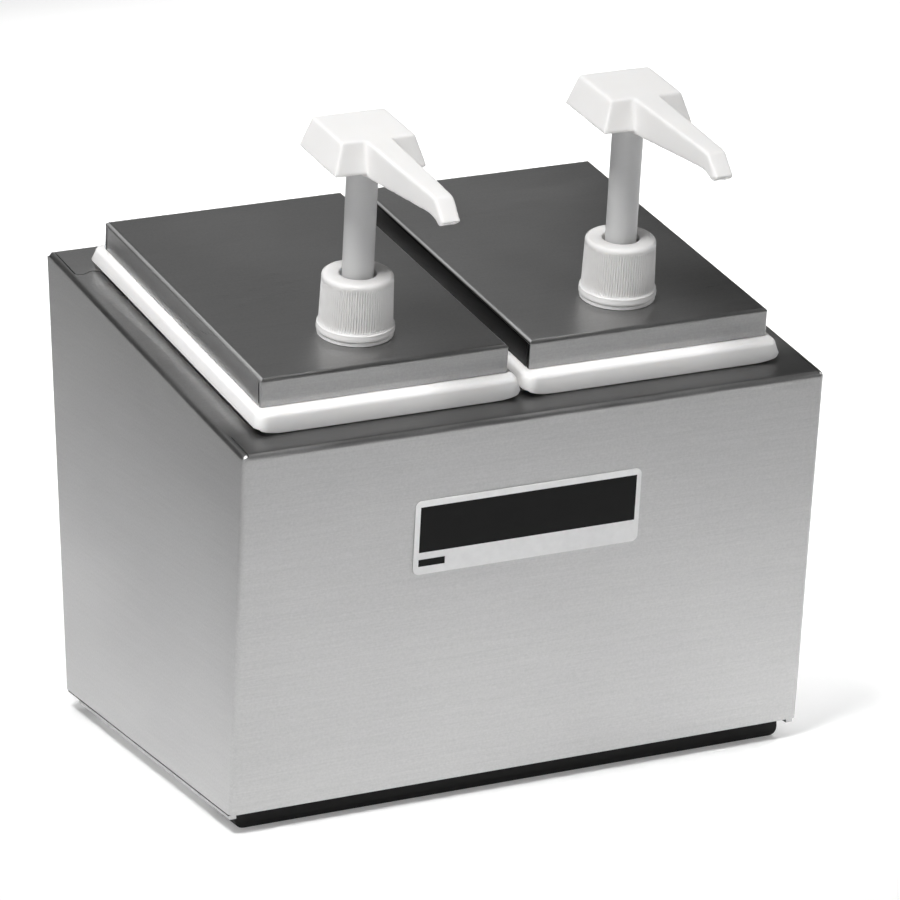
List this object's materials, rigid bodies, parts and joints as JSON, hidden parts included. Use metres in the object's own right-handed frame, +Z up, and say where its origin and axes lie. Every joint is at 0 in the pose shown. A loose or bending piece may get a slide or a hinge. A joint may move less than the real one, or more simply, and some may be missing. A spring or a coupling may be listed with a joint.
{
  "type": "condiment pump dispenser",
  "caption": "Stainless countertop case with a sloping deck, holding plastic jars side by side, each with a folded steel lid and a push pump with a downturned spout.",
  "frame": {"origin": "centre of the bounding box, on the counter surface", "axes": "+Z up, -Y towards the server where the spouts point, +X to the right seen from the front"},
  "size_m": [0.3, 0.3044, 0.3387],
  "materials": {
    "case_steel": "brushed satin stainless",
    "lid_steel": "brushed stainless, darker",
    "jar_plastic": "white moulded plastic",
    "pump_plastic": "white moulded plastic",
    "cap_plastic": "ribbed white plastic",
    "stem_plastic": "smooth off-white plastic",
    "barrel_plastic": "natural plastic",
    "black_plastic": "black rubber, matte",
    "spring_steel": "stainless, bright",
    "badge_film": "printed plastic film"
  },
  "bodies": {
    "case": {"case_shell": "case_steel", "rear_panel": "case_steel", "bottom_pan": "case_steel", "center_rail": "case_steel", "front_rail": "black_plastic", "rear_rail": "black_plastic", "badge_plate": "badge_film", "rail_screw_1": "spring_steel", "rail_screw_2": "spring_steel", "rail_screw_3": "spring_steel", "rail_screw_4": "spring_steel"},
    "left_jar_body": {"left_jar": "jar_plastic"},
    "left_lid_body": {"left_lid": "lid_steel", "left_neck_bushing": "pump_plastic", "left_neck_nut": "pump_plastic", "left_pump_barrel": "barrel_plastic", "left_guide_collar": "cap_plastic", "left_pump_spring": "spring_steel", "left_dip_tube": "barrel_plastic"},
    "left_cap_body": {"left_pump_cap": "cap_plastic"},
    "left_plunger_body": {"left_pump_stem": "stem_plastic", "left_piston": "barrel_plastic"},
    "left_head_body": {"left_pump_head": "pump_plastic"},
    "left_inlet_ball_body": {"left_inlet_ball": "spring_steel"},
    "left_outlet_ball_body": {"left_outlet_ball": "spring_steel"},
    "right_jar_body": {"right_jar": "jar_plastic"},
    "right_lid_body": {"right_lid": "lid_steel", "right_neck_bushing": "pump_plastic", "right_neck_nut": "pump_plastic", "right_pump_barrel": "barrel_plastic", "right_guide_collar": "cap_plastic", "right_pump_spring": "spring_steel", "right_dip_tube": "barrel_plastic"},
    "right_cap_body": {"right_pump_cap": "cap_plastic"},
    "right_plunger_body": {"right_pump_stem": "stem_plastic", "right_piston": "barrel_plastic"},
    "right_head_body": {"right_pump_head": "pump_plastic"},
    "right_inlet_ball_body": {"right_inlet_ball": "spring_steel"},
    "right_outlet_ball_body": {"right_outlet_ball": "spring_steel"}
  },
  "joints": [
    {"name": "left_jar_lift", "type": "slide", "parent": "case", "child": "left_jar_body", "axis": [0, -0.1736, 0.9848], "range_m": [0, 0.185]},
    {"name": "left_lid_lift", "type": "slide", "parent": "left_jar_body", "child": "left_lid_body", "axis": [0, -0.1736, 0.9848], "range_m": [0, 0.18]},
    {"name": "left_cap_turn", "type": "hinge", "parent": "left_lid_body", "child": "left_cap_body", "pos_m": [-0.0682, -0.03761, 0.22877], "axis": [0, -0.1736, 0.9848], "range_deg": [0, 540]},
    {"name": "left_plunger_press", "type": "slide", "parent": "left_lid_body", "child": "left_plunger_body", "axis": [0, 0.1736, -0.9848], "range_m": [0, 0.04], "stiffness_N_per_m": 250, "springref_m": -0.02, "deforming": ["left_pump_spring"]},
    {"name": "left_head_swivel", "type": "hinge", "parent": "left_plunger_body", "child": "left_head_body", "pos_m": [-0.0682, -0.03761, 0.22877], "axis": [0, -0.1736, 0.9848], "continuous": true},
    {"name": "left_inlet_ball_lift", "type": "slide", "parent": "left_lid_body", "child": "left_inlet_ball_body", "axis": [0, -0.1736, 0.9848], "range_m": [0, 0.003]},
    {"name": "left_outlet_ball_lift", "type": "slide", "parent": "left_plunger_body", "child": "left_outlet_ball_body", "axis": [0, -0.1736, 0.9848], "range_m": [0, 0.003]},
    {"name": "right_jar_lift", "type": "slide", "parent": "case", "child": "right_jar_body", "axis": [0, -0.1736, 0.9848], "range_m": [0, 0.185]},
    {"name": "right_lid_lift", "type": "slide", "parent": "right_jar_body", "child": "right_lid_body", "axis": [0, -0.1736, 0.9848], "range_m": [0, 0.18]},
    {"name": "right_cap_turn", "type": "hinge", "parent": "right_lid_body", "child": "right_cap_body", "pos_m": [0.0682, -0.03761, 0.22877], "axis": [0, -0.1736, 0.9848], "range_deg": [0, 540]},
    {"name": "right_plunger_press", "type": "slide", "parent": "right_lid_body", "child": "right_plunger_body", "axis": [0, 0.1736, -0.9848], "range_m": [0, 0.04], "stiffness_N_per_m": 250, "springref_m": -0.02, "deforming": ["right_pump_spring"]},
    {"name": "right_head_swivel", "type": "hinge", "parent": "right_plunger_body", "child": "right_head_body", "pos_m": [0.0682, -0.03761, 0.22877], "axis": [0, -0.1736, 0.9848], "continuous": true},
    {"name": "right_inlet_ball_lift", "type": "slide", "parent": "right_lid_body", "child": "right_inlet_ball_body", "axis": [0, -0.1736, 0.9848], "range_m": [0, 0.003]},
    {"name": "right_outlet_ball_lift", "type": "slide", "parent": "right_plunger_body", "child": "right_outlet_ball_body", "axis": [0, -0.1736, 0.9848], "range_m": [0, 0.003]}
  ]
}
